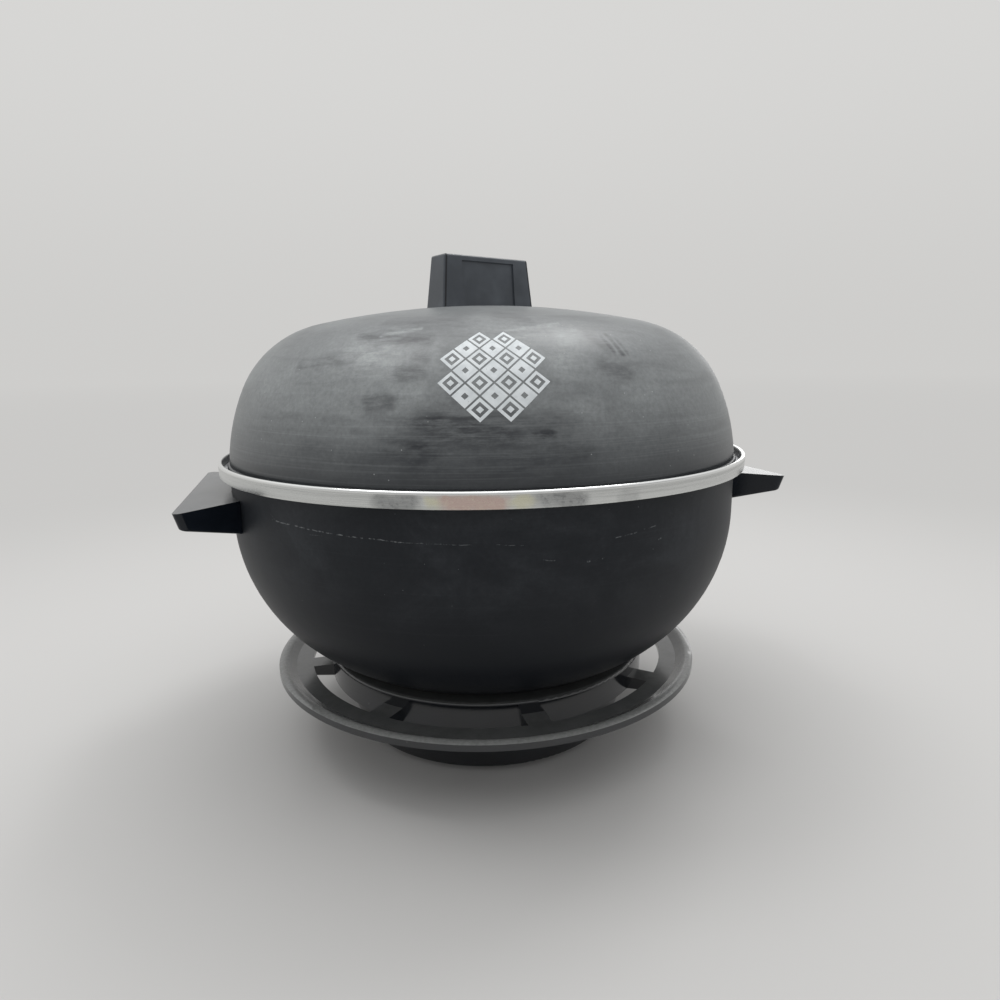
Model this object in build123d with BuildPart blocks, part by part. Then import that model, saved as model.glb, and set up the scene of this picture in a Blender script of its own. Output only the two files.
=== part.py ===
from build123d import *
from math import acos, asin, atan, cos, degrees, hypot, radians, sin, sqrt, tan
import os

# A table-top electric bun warmer. A drawn bowl with a domed lid stands on a moulded
# heating base, whose spoked plate spreads out under it. Millimetres, +Z up.
# The origin is on the table under the bowl's axis. +X runs through the right handle,
# and -Y is the front. The inlet for the lead is at the back.

os.makedirs("parts", exist_ok=True)

# Clearances
fit = 0.1                     # pieces that are fixed together
running = 0.3                 # pieces that lift off, and the bowl in its seat
upright = 0.7                 # least upward share in the direction of an upright edge

# Rubber feet and bottom cover
foot_radius = 8.0
foot_height = 3.0
foot_edge = 1.0
foot_inset = 15.0              # feet and cover screws, in from the housing's lower edge
foot_count = 4
foot_turn = 45.0
foot_stem_radius = 2.4
foot_head_radius = 3.4
foot_head_height = 1.5
cover_thickness = 1.2
cover_screw_count = 3
cover_screw_turn = 30.0
cover_screw_radius = 1.6
cover_screw_length = 9.0
cover_screw_head_radius = 3.2
cover_screw_head_height = 1.8
cover_screw_head_edge = 1.0
cover_boss_radius = 4.0

# Heater housing, the pedestal under the hub
housing_flare = 11.0           # top edge out from the lower edge
housing_height = 30.0
housing_wall = 3.0
housing_edge = 1.0
web_thickness = 3.0
lead_hole_radius = 9.0

# Base plate: hub, spokes, flat ring and lip
hub_height = 10.1
hub_wall = 9.9
seat_reach = 29.8              # from the bowl's flat floor out to the hub's bore
hub_edge = 1.5
shelf_width = 10.1
shelf_thickness = 3.4
skirt_drop = 2.5
skirt_wall = 4.0
plate_step = 6.1              # hub's top edge above the flat ring
plate_thickness = 2.2
vent_width = 10.0
ring_width = 8.4
lip_run = 4.0                  # the slope from the ring up to the lip
lip_width = 4.6
lip_rise = 2.8
lip_crown = 0.7               # the lip's rounded top above its two edges
lip_undercut = 1.4            # the lip's lower edge above the ring's
spoke_count = 8
spoke_width = 11.0
spoke_wall = 2.2
spoke_depth_hub = 6.3
spoke_depth_ring = 4.7
spoke_overlap = 1.5

# Screws that hold the base plate on the housing
hub_screw_count = 4
hub_screw_turn = 45.0
hub_screw_radius = 2.0
hub_screw_length = 12.0
hub_screw_head_radius = 3.8
countersink_angle = 45.0
hub_boss_radius = 4.5

# Bowl
bowl_radius = 126.0
bowl_wall = 1.8
bowl_corner_radius = 82.0
bowl_straight = 27.5          # corner's centre up to the band's top edge
ledge_depth = 4.0
ledge_thickness = 1.6
ledge_fillet = 0.8

# Rim band
band_step = 5.0                # out from the bowl's wall
band_wall = 2.0
band_taper = 0.3
band_lip = 1.0

# Lid
lid_inset = 0.2                # in from the bowl's wall, at the band's top edge
lid_wall = 1.2
lid_crown_radius = 382.0
lid_shoulder_radius = 51.4
lid_skirt_radius = 99.6
lid_shoulder_angle = 24.0     # from level, where the skirt ends
lid_skirt_lean = 4.55
lid_bead_radius = 1.1

# Knob
knob_turn = 21.0
knob_base_length = 55.0
knob_base_width = 16.5
knob_top_length = 50.0
knob_top_width = 13.0
knob_height = 24.0
knob_edge = 1.2
knob_panel_length = 31.0
knob_panel_depth = 0.8
knob_panel_border = 2.6
knob_insert_radius = 4.0
knob_insert_length = 10.0
knob_screw_radius = 2.0
knob_screw_length = 10.0
knob_screw_head_radius = 4.0
knob_screw_head_height = 2.6
knob_screw_head_edge = 1.5
knob_washer_radius = 6.0
knob_washer_thickness = 1.0

# Side handles
handle_length = 18.2           # bowl's wall to the tip's top edge
handle_half_width = 60.0       # at the tip
handle_end_slant = 38.0        # how far the ends turn towards the bowl's middle
handle_root_drop = 14.4        # band's top edge down to the top face at the wall
handle_tip_drop = 14.9
handle_tip_thickness = 7.1
handle_tip_undercut = 1.8
handle_root_thickness = 12.8
handle_edge = 1.2
handle_corner = 2.4
handle_screw_angle = 11.0
handle_screw_drop = 20.4
handle_screw_radius = 2.0
handle_screw_length = 10.0
handle_screw_head_radius = 4.0
handle_screw_head_height = 2.4
handle_screw_head_slope = 20.0
handle_insert_radius = 3.2
handle_insert_length = 9.0

# Bun rack
rack_rise = 13.0              # above the bowl's floor
rack_wall = 1.2
rack_rim_radius = 1.6
rack_hole_radius = 6.0
rack_hole_spacing = 26.0       # between the rings of holes
rack_holes_first_ring = 6      # each ring out has as many more

# Heater stack, from the bowl's floor down
element_tube_radius = 3.25
element_inset = 11.0           # tube's ring inside the bowl's flat floor
element_leg_spacing = 15.2
element_bend_radius = 7.0
element_leg_end = 16.0
element_pin_radius = 1.2
element_pin_length = 3.0
clamp_inset = 3.0              # inside the bowl's flat floor
clamp_thickness = 1.5
clamp_notch_width = 30.0
clamp_notch_gap = 5.6          # between the notch and the element's legs
spacer_radius = 5.0
spacer_height = 3.2
pan_gap = 4.0                  # inside the shelf
pan_thickness = 0.8
pan_rim_height = 6.0
pan_corner = 3.0
insulation_margin = 2.0        # inside the pan's edge
insulation_thickness = 3.0
leg_hole_radius = 4.0
stud_count = 3
stud_turn = 30.0
stud_radius = 2.5
stud_tail = 7.0               # below the web
stud_nut_width = 8.0
stud_nut_height = 4.0
stud_washer_radius = 5.0
stud_washer_thickness = 1.0

# Thermostat, held between the bowl and the clamp plate
thermostat_cap_radius = 9.5
thermostat_edge = 0.8
thermostat_body_radius = 6.5
thermostat_body_length = 4.5
thermostat_blade_width = 5.0
thermostat_blade_thickness = 0.8
thermostat_blade_length = 5.5
thermostat_blade_spacing = 8.0

# Inlet at the back
inlet_level = 11.7
inlet_width = 28.0
inlet_opening_height = 13.6
inlet_wall = 1.8
inlet_pad_depth = 9.0          # pad's face in from the housing's lower edge
inlet_block = 8.0              # from the pad's face to the socket's floor
inlet_reach = 26.0             # from the pad's face to the mouth
inlet_pad_half_width = 19.0
inlet_flange_width = 37.0
inlet_flange_height = 14.2
inlet_flange_thickness = 2.0
inlet_screw_spacing = 32.8
inlet_screw_radius = 1.3
inlet_screw_length = 7.0
inlet_screw_head_radius = 2.4
inlet_screw_head_height = 1.6
pin_spacing = 12.7
pin_radius = 2.0
pin_shank_radius = 1.8
pin_recess = 4.0               # pins' ends inside the mouth
pin_tail = 8.0                 # pins' ends behind the pad's face

# Wiring in the housing
wire_radius = 1.1
wire_level = 9.0
wire_bend = 2.5
wire_lead = 8.0               # straight run out of a pin or a fuse
wire_turn = 6.0               # from an element's leg to where the wire turns up to it
wire_dip = 1.0                # how far a wire dips before it turns up
fuse_x = -24.0
fuse_start = 20.0
fuse_length = 11.0
fuse_radius = 2.2
fuse_lead_radius = 0.6
fuse_lead_length = 2.0
clip_width = 5.0
clip_wall = 1.0
clip_foot = 7.0

# Levels and radii that follow from the sizes above
housing_bottom = foot_height
housing_top = housing_bottom + housing_height
cover_top = housing_bottom + cover_thickness
hub_top = housing_top + hub_height
plate_top = hub_top - plate_step
plate_bottom = plate_top - plate_thickness
bowl_floor_radius = bowl_radius - bowl_corner_radius
hub_bore_radius = bowl_floor_radius + seat_reach + running
hub_radius = hub_bore_radius + hub_wall
shelf_radius = hub_bore_radius - shelf_width
hub_screw_circle = (shelf_radius + hub_bore_radius) / 2
vent_radius = hub_radius + vent_width
ring_radius = vent_radius + ring_width
lip_inner_radius = ring_radius + lip_run
lip_radius = lip_inner_radius + lip_width
housing_top_radius = hub_radius - skirt_wall
housing_base_radius = housing_top_radius - housing_flare
foot_circle = housing_base_radius - foot_inset
cover_screw_circle = foot_circle
band_radius = bowl_radius + band_step
lid_radius = bowl_radius - lid_inset
handle_reach = bowl_radius + handle_length
bowl_corner_z = hub_top + sqrt(bowl_corner_radius**2 - seat_reach**2)
bowl_bottom = bowl_corner_z - bowl_corner_radius
bowl_floor = bowl_bottom + bowl_wall
rim_top = bowl_corner_z + bowl_straight
ledge_top = rim_top - ledge_depth
ledge_bottom = ledge_top - ledge_thickness
element_ring_radius = bowl_floor_radius - element_inset
clamp_radius = bowl_floor_radius - clamp_inset
stud_circle = (thermostat_cap_radius + element_ring_radius + stud_radius / 2) / 2
element_z = bowl_bottom - fit - element_tube_radius
clamp_top = element_z - element_tube_radius - fit
clamp_bottom = clamp_top - clamp_thickness
pan_top = clamp_bottom - spacer_height
pan_bottom = pan_top - pan_thickness
pan_radius = shelf_radius - pan_gap
insulation_radius = pan_radius - insulation_margin
web_top = pan_bottom - insulation_thickness
web_bottom = web_top - web_thickness
stud_bottom = web_bottom - stud_tail
countersink_depth = (hub_screw_head_radius - hub_screw_radius) / tan(radians(countersink_angle))
leg_x = element_leg_spacing / 2
leg_reach = hypot(element_ring_radius, element_bend_radius)
leg_angle = degrees(acos(leg_x / leg_reach) - atan(element_bend_radius / element_ring_radius))
leg_y = element_ring_radius * sin(radians(leg_angle)) + element_bend_radius * cos(radians(leg_angle))
clamp_notch_inner = leg_y - element_tube_radius - clamp_notch_gap
inlet_pad_face = housing_base_radius - inlet_pad_depth
inlet_floor = inlet_pad_face + inlet_block
inlet_mouth = inlet_pad_face + inlet_reach
pin_outer_end = inlet_mouth - pin_recess
pin_inner_end = inlet_pad_face - pin_tail
blade_end = clamp_bottom - thermostat_body_length + clamp_thickness - thermostat_blade_length


def housing_radius(level):
    """Outer radius of the pedestal's cone at a height."""
    share = (level - housing_bottom) / housing_height
    return housing_base_radius + share * (housing_top_radius - housing_base_radius)


def polar(radius, angle):
    """A point in the profile plane, angle in degrees from level."""
    return (radius * cos(radians(angle)), radius * sin(radians(angle)))


def write(piece, name):
    """Names a finished piece and writes it."""
    piece.part.label = name
    export_step(piece.part, f"parts/{name}.step")


# Rubber feet, each pushed into the cover by its stem
with BuildPart() as rubber_feet:
    with BuildSketch():
        with PolarLocations(foot_circle, foot_count, start_angle=foot_turn):
            Circle(foot_radius)
    extrude(amount=foot_height)
    chamfer(rubber_feet.faces().sort_by(Axis.Z)[:foot_count].edges(), foot_edge)
    with BuildSketch(Plane.XY.offset(foot_height)):
        with PolarLocations(foot_circle, foot_count, start_angle=foot_turn):
            Circle(foot_stem_radius)
    extrude(amount=cover_thickness + fit)
    with BuildSketch(Plane.XY.offset(cover_top + fit)):
        with PolarLocations(foot_circle, foot_count, start_angle=foot_turn):
            Circle(foot_head_radius)
    extrude(amount=foot_head_height)
write(rubber_feet, "rubber_feet")

# Bottom cover, a steel disc inside the housing's lower edge
with BuildPart() as bottom_cover:
    with BuildSketch(Plane.XY.offset(housing_bottom)):
        Circle(housing_base_radius - housing_wall - fit)
        with PolarLocations(foot_circle, foot_count, start_angle=foot_turn):
            Circle(foot_stem_radius + fit, mode=Mode.SUBTRACT)
        with PolarLocations(cover_screw_circle, cover_screw_count, start_angle=cover_screw_turn):
            Circle(cover_screw_radius + fit, mode=Mode.SUBTRACT)
    extrude(amount=cover_thickness)
write(bottom_cover, "bottom_cover")

with BuildPart() as cover_screws:
    with BuildSketch(Plane.XY.offset(housing_bottom)):
        with PolarLocations(cover_screw_circle, cover_screw_count, start_angle=cover_screw_turn):
            Circle(cover_screw_head_radius)
    extrude(amount=-cover_screw_head_height)
    cover_screw_heads = cover_screws.faces().sort_by(Axis.Z)[:cover_screw_count]
    chamfer(cover_screw_heads.edges(), cover_screw_head_edge)
    with BuildSketch(Plane.XY.offset(housing_bottom)):
        with PolarLocations(cover_screw_circle, cover_screw_count, start_angle=cover_screw_turn):
            Circle(cover_screw_radius)
    extrude(amount=cover_screw_length)
write(cover_screws, "cover_screws")

# The solid behind the housing's back wall, whose flat face carries the inlet
with BuildPart() as inlet_pad:
    with BuildSketch(Plane.XZ):
        with BuildLine():
            Polyline(
                (0, cover_top),
                (housing_radius(cover_top) - housing_edge, cover_top),
                (housing_radius(web_bottom) - housing_edge, web_bottom),
                (0, web_bottom),
                close=True,
            )
        make_face()
    revolve(axis=Axis.Z)
    with BuildSketch(Plane.XY.offset(cover_top)):
        with Locations((0, inlet_pad_face)):
            Rectangle(2 * inlet_pad_half_width, inlet_pad_face, align=(Align.CENTER, Align.MIN))
    extrude(amount=web_bottom - cover_top, mode=Mode.INTERSECT)

# Heater housing: a conical drum with a web across it, screw bosses and the inlet's window
with BuildPart() as heater_housing:
    with BuildSketch(Plane.XZ):
        with BuildLine():
            Polyline(
                (housing_base_radius, housing_bottom),
                (housing_top_radius, housing_top),
                (housing_top_radius - housing_wall, housing_top),
                (housing_radius(web_top) - housing_wall, web_top),
                (0, web_top),
                (0, web_bottom),
                (housing_radius(web_bottom) - housing_wall, web_bottom),
                (housing_base_radius - housing_wall, housing_bottom),
                close=True,
            )
        make_face()
    revolve(axis=Axis.Z)
    lower_circles = heater_housing.edges().filter_by(GeomType.CIRCLE).group_by(Axis.Z)[0]
    fillet(lower_circles.sort_by(SortBy.RADIUS)[-1], housing_edge)
    with BuildSketch(Plane.XY.offset(web_top)):
        with PolarLocations(hub_screw_circle, hub_screw_count, start_angle=hub_screw_turn):
            Circle(hub_boss_radius)
    extrude(amount=housing_top - web_top)
    with BuildSketch(Plane.XY.offset(cover_top)):
        with PolarLocations(cover_screw_circle, cover_screw_count, start_angle=cover_screw_turn):
            Circle(cover_boss_radius)
    extrude(amount=web_bottom - cover_top)
    add(inlet_pad.part)
    with BuildSketch(Plane.XY.offset(web_bottom)):
        Circle(lead_hole_radius)
        with PolarLocations(stud_circle, stud_count, start_angle=stud_turn):
            Circle(stud_radius + running)
        with Locations((leg_x, leg_y), (-leg_x, leg_y)):
            Circle(leg_hole_radius)
    extrude(amount=web_thickness, mode=Mode.SUBTRACT)
    with BuildSketch(Plane.XY.offset(housing_top)):
        with PolarLocations(hub_screw_circle, hub_screw_count, start_angle=hub_screw_turn):
            Circle(hub_screw_radius + fit)
    extrude(amount=-(hub_screw_length - shelf_thickness + running), mode=Mode.SUBTRACT)
    with BuildSketch(Plane.XY.offset(cover_top)):
        with PolarLocations(cover_screw_circle, cover_screw_count, start_angle=cover_screw_turn):
            Circle(cover_screw_radius + fit)
    extrude(amount=cover_screw_length - cover_thickness + running, mode=Mode.SUBTRACT)
    with BuildSketch(Plane.XZ.offset(-inlet_pad_face)):
        with Locations((0, inlet_level)):
            Rectangle(inlet_width + 2 * fit, inlet_opening_height + 2 * fit)
    extrude(amount=-inlet_pad_face, mode=Mode.SUBTRACT)
    with BuildSketch(Plane.XZ.offset(-inlet_pad_face)):
        with Locations((inlet_screw_spacing / 2, inlet_level), (-inlet_screw_spacing / 2, inlet_level)):
            Circle(inlet_screw_radius + fit)
    extrude(amount=-(inlet_screw_length - inlet_flange_thickness + running), mode=Mode.SUBTRACT)
write(heater_housing, "heater_housing")

# Base plate: spokes first, as a tapered web that is cut to eight channels
with BuildPart() as spokes:
    with BuildSketch(Plane.XZ):
        with BuildLine():
            Polyline(
                (hub_radius - spoke_overlap, plate_top),
                (vent_radius + spoke_overlap, plate_top),
                (vent_radius + spoke_overlap, plate_top - spoke_depth_ring),
                (hub_radius - spoke_overlap, plate_top - spoke_depth_hub),
                close=True,
            )
        make_face()
    revolve(axis=Axis.Z)
    with BuildSketch(Plane.XY.offset(plate_top)):
        with PolarLocations((hub_radius + vent_radius) / 2, spoke_count):
            Rectangle(vent_radius - hub_radius + 4 * spoke_overlap, spoke_width)
    extrude(amount=-spoke_depth_hub, mode=Mode.INTERSECT)
    with BuildSketch(Plane.XY.offset(plate_bottom)):
        with PolarLocations((hub_radius + vent_radius) / 2, spoke_count):
            Rectangle(vent_radius - hub_radius, spoke_width - 2 * spoke_wall)
    extrude(amount=-spoke_depth_hub, mode=Mode.SUBTRACT)

lip_top = plate_top + lip_rise
lip_edge_level = lip_top - lip_crown
lip_bottom = plate_bottom + lip_undercut
lip_middle = (lip_inner_radius + lip_radius) / 2

with BuildPart() as base_plate:
    with BuildSketch(Plane.XZ):
        with BuildLine():
            Polyline(
                (lip_inner_radius, lip_edge_level),
                (ring_radius, plate_top),
                (vent_radius, plate_top),
                (vent_radius, plate_bottom),
                (ring_radius, plate_bottom),
                (lip_inner_radius, lip_bottom),
                (lip_radius, lip_bottom),
                (lip_radius, lip_edge_level),
            )
            ThreePointArc(
                (lip_radius, lip_edge_level),
                (lip_middle, lip_top),
                (lip_inner_radius, lip_edge_level),
            )
        make_face()
        with BuildLine():
            Polyline(
                (shelf_radius, housing_top),
                (housing_top_radius + fit, housing_top),
                (housing_top_radius + fit, housing_top - skirt_drop),
                (hub_radius, housing_top - skirt_drop),
                (hub_radius, hub_top),
                (hub_bore_radius, hub_top),
                (hub_bore_radius, housing_top + shelf_thickness),
                (shelf_radius, housing_top + shelf_thickness),
                close=True,
            )
        make_face()
    revolve(axis=Axis.Z)
    hub_crest = base_plate.edges().filter_by(GeomType.CIRCLE).filter_by(
        lambda edge: abs(edge.radius - hub_radius) < fit and edge.center().Z > plate_top
    )
    fillet(hub_crest, hub_edge)
    add(spokes.part)
    with BuildSketch(Plane.XY.offset(housing_top)):
        with PolarLocations(hub_screw_circle, hub_screw_count, start_angle=hub_screw_turn):
            Circle(hub_screw_radius + fit)
    extrude(amount=shelf_thickness, mode=Mode.SUBTRACT)
    with BuildSketch(Plane.XY.offset(housing_top + shelf_thickness)):
        with PolarLocations(hub_screw_circle, hub_screw_count, start_angle=hub_screw_turn):
            Circle(hub_screw_head_radius + fit)
    extrude(amount=-countersink_depth, taper=countersink_angle, mode=Mode.SUBTRACT)
write(base_plate, "base_plate")

with BuildPart() as hub_screws:
    with BuildSketch(Plane.XY.offset(housing_top + shelf_thickness)):
        with PolarLocations(hub_screw_circle, hub_screw_count, start_angle=hub_screw_turn):
            Circle(hub_screw_head_radius)
    extrude(amount=-countersink_depth, taper=countersink_angle)
    with BuildSketch(Plane.XY.offset(housing_top + shelf_thickness)):
        with PolarLocations(hub_screw_circle, hub_screw_count, start_angle=hub_screw_turn):
            Circle(hub_screw_radius)
    extrude(amount=-hub_screw_length)
write(hub_screws, "hub_screws")

# Bowl: straight wall, one large corner arc, flat floor and a ledge for the lid
bowl_inner = bowl_radius - bowl_wall
ledge_radius = band_radius - band_wall - fit
screw_z = rim_top - handle_screw_drop


def screw_headings(side):
    """Headings of one handle's two screws, in degrees from +X."""
    middle = 0 if side > 0 else 180
    return (middle + handle_screw_angle, middle - handle_screw_angle)


def screw_plane(heading, distance):
    """A plane square to a handle's screw, with its normal pointing outwards."""
    frame = Plane.XY.rotated((0, 0, heading)).offset(screw_z)
    origin = frame.origin + frame.x_dir * distance
    return Plane(origin, x_dir=frame.y_dir, z_dir=frame.x_dir)


all_headings = screw_headings(1) + screw_headings(-1)

with BuildPart() as bowl_shell:
    with BuildSketch(Plane.XZ):
        with BuildLine():
            Line((0, bowl_bottom), (bowl_floor_radius, bowl_bottom))
            CenterArc((bowl_floor_radius, bowl_corner_z), bowl_corner_radius, -90, 90)
            Polyline(
                (bowl_radius, bowl_corner_z),
                (bowl_radius, ledge_bottom),
                (ledge_radius, ledge_bottom),
                (ledge_radius, ledge_top),
                (bowl_inner, ledge_top),
                (bowl_inner, bowl_corner_z),
            )
            CenterArc((bowl_floor_radius, bowl_corner_z), bowl_corner_radius - bowl_wall, 0, -90)
            Polyline((bowl_floor_radius, bowl_floor), (0, bowl_floor), (0, bowl_bottom))
        make_face()
    revolve(axis=Axis.Z)
    ledge_corner = bowl_shell.edges().filter_by(GeomType.CIRCLE).filter_by(
        lambda edge: abs(edge.radius - bowl_radius) < fit and abs(edge.center().Z - ledge_bottom) < fit
    )
    fillet(ledge_corner, ledge_fillet)
    for heading in all_headings:
        with BuildSketch(screw_plane(heading, 0)):
            Circle(handle_screw_radius + fit)
        extrude(amount=band_radius, mode=Mode.SUBTRACT)
write(bowl_shell, "bowl_shell")

# Rim band, rolled round the bowl's ledge
with BuildPart() as rim_band:
    with BuildSketch(Plane.XZ):
        band_inner = band_radius - band_wall
        band_bottom = ledge_bottom - band_lip
        with BuildLine():
            Polyline(
                (band_radius, rim_top - band_wall / 2),
                (band_radius - band_taper, band_bottom),
                (bowl_radius + ledge_fillet + fit, band_bottom),
                (bowl_radius + ledge_fillet + fit, ledge_bottom),
                (band_inner, ledge_bottom),
                (band_inner, rim_top - band_wall / 2),
            )
            ThreePointArc(
                (band_inner, rim_top - band_wall / 2),
                (band_inner + band_wall / 2, rim_top),
                (band_radius, rim_top - band_wall / 2),
            )
        make_face()
    revolve(axis=Axis.Z)
write(rim_band, "rim_band")


# Side handles, each a wedge with slanted ends that is fitted to the bowl's wall
tip_top = rim_top - handle_tip_drop
tip_bottom = tip_top - handle_tip_thickness
root_top = rim_top - handle_root_drop
root_bottom = root_top - handle_root_thickness
top_slope = (root_top - tip_top) / handle_length
bottom_slope = (tip_bottom - root_bottom) / (handle_length - handle_tip_undercut)
handle_inner_x = bowl_radius - handle_length
handle_inner_half = handle_half_width - 2 * handle_length * tan(radians(handle_end_slant))
handle_wall = bowl_radius + fit

with BuildPart() as right_handle:
    with BuildSketch(Plane.XZ.offset(-handle_half_width)):
        with BuildLine():
            Polyline(
                (handle_inner_x, root_top + top_slope * handle_length),
                (handle_reach, tip_top),
                (handle_reach - handle_tip_undercut, tip_bottom),
                (handle_inner_x, root_bottom - bottom_slope * handle_length),
                close=True,
            )
        make_face()
    extrude(amount=2 * handle_half_width)
    with BuildSketch(Plane.XY.offset(bowl_bottom)):
        with BuildLine():
            Polyline(
                (handle_inner_x, -handle_inner_half),
                (handle_reach, -handle_half_width),
                (handle_reach, handle_half_width),
                (handle_inner_x, handle_inner_half),
                close=True,
            )
        make_face()
    extrude(amount=rim_top - bowl_bottom, mode=Mode.INTERSECT)
    tip_corners = right_handle.edges().filter_by(
        lambda edge: edge.center().X > bowl_radius
        and abs(edge.center().Y) > handle_half_width - handle_tip_undercut
        and abs(edge.tangent_at(0.5).Z) > upright
    )
    fillet(tip_corners, handle_corner)
    tip_lower_edge = right_handle.edges().filter_by(Axis.Y).group_by(Axis.X)[-2:]
    fillet(ShapeList(tip_lower_edge[0] + tip_lower_edge[1]).sort_by(Axis.Z)[0], handle_edge)
    with BuildSketch(Plane.XY.offset(bowl_bottom)):
        Circle(handle_wall)
    extrude(amount=rim_top - bowl_bottom, mode=Mode.SUBTRACT)
    for heading in screw_headings(1):
        with BuildSketch(screw_plane(heading, 0)):
            Circle(handle_insert_radius + fit)
        extrude(amount=handle_wall + handle_insert_length + fit, mode=Mode.SUBTRACT)
write(right_handle, "right_handle")

with BuildPart() as left_handle:
    mirror(right_handle.part, about=Plane.YZ)
write(left_handle, "left_handle")

# Brass inserts moulded into the handles, and the screws that reach them from inside the bowl
with BuildPart() as handle_inserts:
    for heading in all_headings:
        with BuildSketch(screw_plane(heading, handle_wall + fit)):
            Circle(handle_insert_radius)
            Circle(handle_screw_radius + fit, mode=Mode.SUBTRACT)
        extrude(amount=handle_insert_length - fit)
write(handle_inserts, "handle_inserts")

with BuildPart() as handle_screws:
    for heading in all_headings:
        with BuildSketch(screw_plane(heading, bowl_inner - fit)):
            Circle(handle_screw_radius)
        extrude(amount=handle_screw_length)
        with BuildSketch(screw_plane(heading, bowl_inner - fit)):
            Circle(handle_screw_head_radius)
        extrude(amount=-handle_screw_head_height, taper=handle_screw_head_slope)
write(handle_screws, "handle_screws")

# Bun rack: a perforated disc with a rolled rim that lies on the bowl's corner arc
rack_level = bowl_floor + rack_rise
rack_arc = bowl_corner_radius - bowl_wall
rack_seat = bowl_floor_radius + sqrt(rack_arc**2 - (bowl_corner_z - rack_level) ** 2)
rack_radius = rack_seat - running
rack_ring_count = int((rack_radius - 2 * (rack_rim_radius + rack_hole_radius)) / rack_hole_spacing)

with BuildPart() as bun_rack:
    with BuildSketch(Plane.XY.offset(rack_level)):
        Circle(rack_radius - rack_rim_radius)
        Circle(rack_hole_radius, mode=Mode.SUBTRACT)
        for ring in range(1, rack_ring_count + 1):
            with PolarLocations(ring * rack_hole_spacing, ring * rack_holes_first_ring):
                Circle(rack_hole_radius, mode=Mode.SUBTRACT)
    extrude(amount=rack_wall)
    with BuildSketch(Plane.XZ):
        with Locations((rack_radius - rack_rim_radius, rack_level + rack_rim_radius)):
            Circle(rack_rim_radius)
    revolve(axis=Axis.Z)
write(bun_rack, "bun_rack")

# Lid profile: crown, shoulder and skirt arcs, tangent to each other
lid_bottom = ledge_top + running
shoulder_r = (
    lid_radius
    - lid_skirt_radius * cos(radians(lid_skirt_lean))
    + (lid_skirt_radius - lid_shoulder_radius) * cos(radians(lid_shoulder_angle))
)
shoulder_z = (
    rim_top
    - lid_skirt_radius * sin(radians(lid_skirt_lean))
    + (lid_skirt_radius - lid_shoulder_radius) * sin(radians(lid_shoulder_angle))
)
crown_reach = lid_crown_radius - lid_shoulder_radius
crown_angle = degrees(asin(shoulder_r / crown_reach))
crown_z = shoulder_z - crown_reach * cos(radians(crown_angle))
lid_top = crown_z + lid_crown_radius
skirt_offset = polar(lid_skirt_radius - lid_shoulder_radius, lid_shoulder_angle)
skirt_centre = (shoulder_r - skirt_offset[0], shoulder_z - skirt_offset[1])

with BuildPart() as lid_shell:
    with BuildSketch(Plane.XZ):
        with BuildLine():
            for depth in (0, lid_wall):
                CenterArc((0, crown_z), lid_crown_radius - depth, 90, -crown_angle)
                CenterArc(
                    (shoulder_r, shoulder_z),
                    lid_shoulder_radius - depth,
                    90 - crown_angle,
                    crown_angle + lid_shoulder_angle - 90,
                )
                CenterArc(
                    skirt_centre,
                    lid_skirt_radius - depth,
                    lid_shoulder_angle,
                    lid_skirt_lean - lid_shoulder_angle,
                )
            Line((0, lid_top), (0, lid_top - lid_wall))
            inner_end = polar(lid_skirt_radius - lid_wall, lid_skirt_lean)
            Polyline(
                (lid_radius, rim_top),
                (lid_radius, lid_bottom),
                (lid_radius - lid_wall, lid_bottom),
                (skirt_centre[0] + inner_end[0], skirt_centre[1] + inner_end[1]),
            )
        make_face()
        with Locations((lid_radius, lid_bottom + lid_bead_radius)):
            Circle(lid_bead_radius)
    revolve(axis=Axis.Z)
    with BuildSketch(Plane.XY.offset(lid_top)):
        Circle(knob_screw_radius + fit)
    extrude(amount=-2 * lid_wall, mode=Mode.SUBTRACT)
write(lid_shell, "lid_shell")

# Knob: a tapered block with a shallow panel in each broad face, hollowed to the crown
knob_frame = Plane(
    (0, 0, lid_top - knob_edge),
    x_dir=(cos(radians(knob_turn)), sin(radians(knob_turn)), 0),
    z_dir=(0, 0, 1),
)
knob_panel_lean = knob_panel_depth * knob_panel_border / knob_height

with BuildPart() as lid_knob:
    with BuildSketch(knob_frame):
        Rectangle(knob_base_length, knob_base_width)
    with BuildSketch(knob_frame.offset(knob_height + knob_edge)):
        Rectangle(knob_top_length, knob_top_width)
    loft()
    fillet(lid_knob.edges().filter_by(lambda edge: abs(edge.tangent_at(0.5).Z) > upright), knob_edge)
    fillet(lid_knob.faces().sort_by(Axis.Z)[-1].edges(), knob_edge)
    for side in (1, -1):
        panel_bottom = side * (knob_base_width / 2 - knob_panel_depth)
        panel_top = side * (knob_top_width / 2 - knob_panel_depth + knob_panel_lean)
        inward = Align.MIN if side > 0 else Align.MAX
        with BuildSketch(knob_frame):
            with Locations((0, panel_bottom)):
                Rectangle(knob_panel_length, knob_base_width, align=(Align.CENTER, inward))
        with BuildSketch(knob_frame.offset(knob_height + knob_edge - knob_panel_border)):
            with Locations((0, panel_top)):
                Rectangle(knob_panel_length, knob_base_width, align=(Align.CENTER, inward))
        loft(mode=Mode.SUBTRACT)
    with Locations((0, 0, crown_z)):
        Sphere(lid_crown_radius + fit, mode=Mode.SUBTRACT)
    with BuildSketch(Plane.XY.offset(lid_top - knob_edge)):
        Circle(knob_insert_radius + fit)
    extrude(amount=knob_insert_length + knob_edge + running, mode=Mode.SUBTRACT)
write(lid_knob, "lid_knob")

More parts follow.
